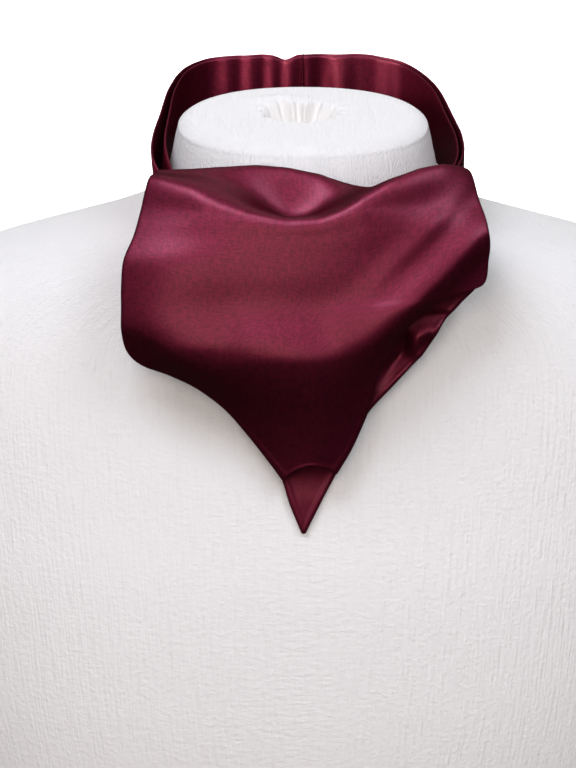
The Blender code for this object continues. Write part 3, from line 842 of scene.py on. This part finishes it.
def add_camera(scene):
    """The camera at its place, tilted down by its elevation."""
    camera = bpy.data.cameras.new("camera")
    camera.lens = CAMERA_LENS
    camera.clip_end = 100
    holder = bpy.data.objects.new("camera", camera)
    tilt = np.radians(CAMERA_ELEVATION)
    up = Vector((0, np.sin(tilt), np.cos(tilt)))
    back = Vector((0, -np.cos(tilt), np.sin(tilt)))
    turn = Matrix((Vector((1, 0, 0)), up, back)).transposed().to_4x4()
    holder.matrix_world = Matrix.Translation(CAMERA_AT) @ turn
    scene.collection.objects.link(holder)
    scene.camera = holder


def make_blade(context, name, grid, points_of):
    """A blade of the cravat on its grid, from the function that gives its points."""
    (across, across_full), (down, down_full) = (even_with_edges(*way) for way in grid)
    sizes = context.scene.cravat_sizes
    points = points_of(across, down, sizes.fold_depth)
    material = satin_material("silk_satin_" + name, context.scene.cravat_finish)
    return shell("satin_" + name + "_blade", points, sizes.satin_wall, np.outer(down_full, across_full),
                 material, cloth_uv(points))


class CravatSizes(bpy.types.PropertyGroup):
    """Sizes that a user would change."""
    satin_wall: bpy.props.FloatProperty(
        name="Satin wall", description="Both layers of a blade with what lies between them",
        default=1.3 * MM, unit="LENGTH", subtype="DISTANCE")
    band_wall: bpy.props.FloatProperty(
        name="Band wall", description="One pleated layer of the neckband",
        default=1.0 * MM, unit="LENGTH", subtype="DISTANCE")
    fold_depth: bpy.props.FloatProperty(
        name="Fold depth", description="How deep the folds are, against the real ones",
        default=1.0, min=0, max=2)
    stitch_length: bpy.props.FloatProperty(
        name="Stitch length", description="Length of a stitch in the band's back seam",
        default=1.6 * MM, unit="LENGTH", subtype="DISTANCE")


class CravatFinish(bpy.types.PropertyGroup):
    """Colours that a user would change."""
    satin_colour: bpy.props.FloatVectorProperty(
        name="Satin", description="Dyed colour of the satin", subtype="COLOR", default=linear("6C152E"))
    sheen_colour: bpy.props.FloatVectorProperty(
        name="Sheen", description="Tint of the soft gloss over the satin", subtype="COLOR",
        default=linear("FFFFFF"))
    jersey_colour: bpy.props.FloatVectorProperty(
        name="Jersey", description="Colour of the form's jersey cover", subtype="COLOR",
        default=linear("E4E0D9"))
    floor_colour: bpy.props.FloatVectorProperty(
        name="Floor", description="Colour of the studio floor", subtype="COLOR", default=linear("D0D0D0"))


class CRAVAT_OT_form(bpy.types.Operator):
    """Makes the dress form in its jersey cover"""
    bl_idname = "cravat.form"
    bl_label = "Dress form"

    def execute(self, context):
        points, faces, uv = form_mesh()
        material = jersey_material(context.scene.cravat_finish)
        obj = make_piece("jersey_form", points, faces, material, uv)
        # The satin doesn't mirror the white cover
        obj.visible_glossy = False
        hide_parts("dress_form")
        return {"FINISHED"}


class CRAVAT_OT_neckband(bpy.types.Operator):
    """Makes both halves of the pleated neckband"""
    bl_idname = "cravat.neckband"
    bl_label = "Neckband"

    def execute(self, context):
        sizes = context.scene.cravat_sizes
        (along, along_full), (around, around_full) = (even_with_edges(*way) for way in BAND_GRID)
        lit = bpy.data.collections.new("lit_by_the_neck")
        for name, route, side in (("left", BAND_LEFT, -1), ("right", BAND_RIGHT, 1)):
            points = band_points(route, side, along, around)[:, ::-side]
            material = satin_material("silk_satin_band_" + name, context.scene.cravat_finish)
            obj = shell("satin_neckband_" + name, points, sizes.band_wall, np.outer(along_full, around_full),
                        material, cloth_uv(points)[..., ::-1])
            lit.objects.link(obj)
            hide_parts("neckband_" + name)
        obj = make_piece("seam_stitches", *stitches(sizes.stitch_length), material)
        lit.objects.link(obj)
        lamp = add_lamp(context.scene, BAND_LAMP, BAND_LAMP_TARGET)
        lamp.light_linking.receiver_collection = lit
        return {"FINISHED"}


class CRAVAT_OT_knot(bpy.types.Operator):
    """Makes the stretch of cloth that is wrapped round the crossing"""
    bl_idname = "cravat.knot"
    bl_label = "Knot wrap"

    def execute(self, context):
        sizes = context.scene.cravat_sizes
        up, full = even_with_edges(*KNOT_GRID)
        around = np.linspace(0, 1, KNOT_COLUMNS, endpoint=False)
        points = knot_points(around, up)
        normals = grid_normals(np.concatenate([points[:, -1:], points, points[:, :1]], 1))[:, 1:-1]
        half = 0.5 * sizes.satin_wall * full[:, None, None] * normals
        outer, inner = points + half, (points - half)[1:-1]
        rows, columns = points.shape[:2]
        index = np.arange(rows * columns).reshape(rows, columns)
        inner_index = rows * columns + np.arange((rows - 2) * columns).reshape(rows - 2, columns)
        ladder = np.concatenate([index, inner_index[::-1], index[:1]])
        lower, upper = ladder[:-1], ladder[1:]
        faces = np.stack([lower, np.roll(lower, -1, 1), np.roll(upper, -1, 1), upper], -1).reshape(-1, 4)
        uv = cloth_uv(points)
        uv = np.concatenate([uv.reshape(-1, 2), uv[1:-1].reshape(-1, 2)])
        material = satin_material("silk_satin_knot", context.scene.cravat_finish)
        obj = make_piece("satin_knot", np.concatenate([outer.reshape(-1, 3), inner.reshape(-1, 3)]), faces,
                         material, uv)
        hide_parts("knot_wrap")
        return {"FINISHED"}


class CRAVAT_OT_front_blade(bpy.types.Operator):
    """Makes the puffed blade that falls over the knot"""
    bl_idname = "cravat.front_blade"
    bl_label = "Front blade"

    def execute(self, context):
        obj = make_blade(context, "front", FRONT_GRID, blade_points)
        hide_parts("front_blade")
        return {"FINISHED"}


class CRAVAT_OT_under_blade(bpy.types.Operator):
    """Makes the short end that hangs under the front blade"""
    bl_idname = "cravat.under_blade"
    bl_label = "Under blade"

    def execute(self, context):
        obj = make_blade(context, "under", UNDER_GRID, under_points)
        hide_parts("under_blade")
        return {"FINISHED"}


class CRAVAT_OT_stage(bpy.types.Operator):
    """Makes the floor, the lights and the camera"""
    bl_idname = "cravat.stage"
    bl_label = "Stage"

    def execute(self, context):
        scene = context.scene
        scene.view_settings.view_transform = "Standard"
        add_floor(scene)
        for row in LAMPS:
            add_lamp(scene, row, LAMP_TARGET)
        for row in DOWN_LAMPS:
            lamp = add_lamp(scene, row, Vector(row["place"]) - Vector((0, 0, 1)))
            lamp.data.spread = np.radians(row["spread"])
            lamp.visible_glossy = False
        add_sky(scene)
        add_camera(scene)
        return {"FINISHED"}


class CRAVAT_PT_panel(bpy.types.Panel):
    """Lists the pieces in the 3D view's sidebar"""
    bl_label = "Silk cravat"
    bl_idname = "CRAVAT_PT_panel"
    bl_space_type = "VIEW_3D"
    bl_region_type = "UI"
    bl_category = "Cravat"

    def draw(self, context):
        for group in (context.scene.cravat_sizes, context.scene.cravat_finish):
            for name in group.__annotations__:
                self.layout.prop(group, name)
        for operator in OPERATORS:
            self.layout.operator(operator.bl_idname)


OPERATORS = (CRAVAT_OT_stage, CRAVAT_OT_form, CRAVAT_OT_neckband, CRAVAT_OT_knot, CRAVAT_OT_under_blade,
             CRAVAT_OT_front_blade)
CLASSES = (CravatSizes, CravatFinish, *OPERATORS, CRAVAT_PT_panel)


def register():
    for each in CLASSES:
        bpy.utils.register_class(each)
    bpy.types.Scene.cravat_sizes = bpy.props.PointerProperty(type=CravatSizes)
    bpy.types.Scene.cravat_finish = bpy.props.PointerProperty(type=CravatFinish)


def unregister():
    del bpy.types.Scene.cravat_sizes
    del bpy.types.Scene.cravat_finish
    for each in reversed(CLASSES):
        bpy.utils.unregister_class(each)


def main():
    register()
    bpy.ops.cravat.stage()
    bpy.ops.cravat.form()
    bpy.ops.cravat.neckband()
    bpy.ops.cravat.knot()
    bpy.ops.cravat.under_blade()
    bpy.ops.cravat.front_blade()


if __name__ == "__main__":
    main()
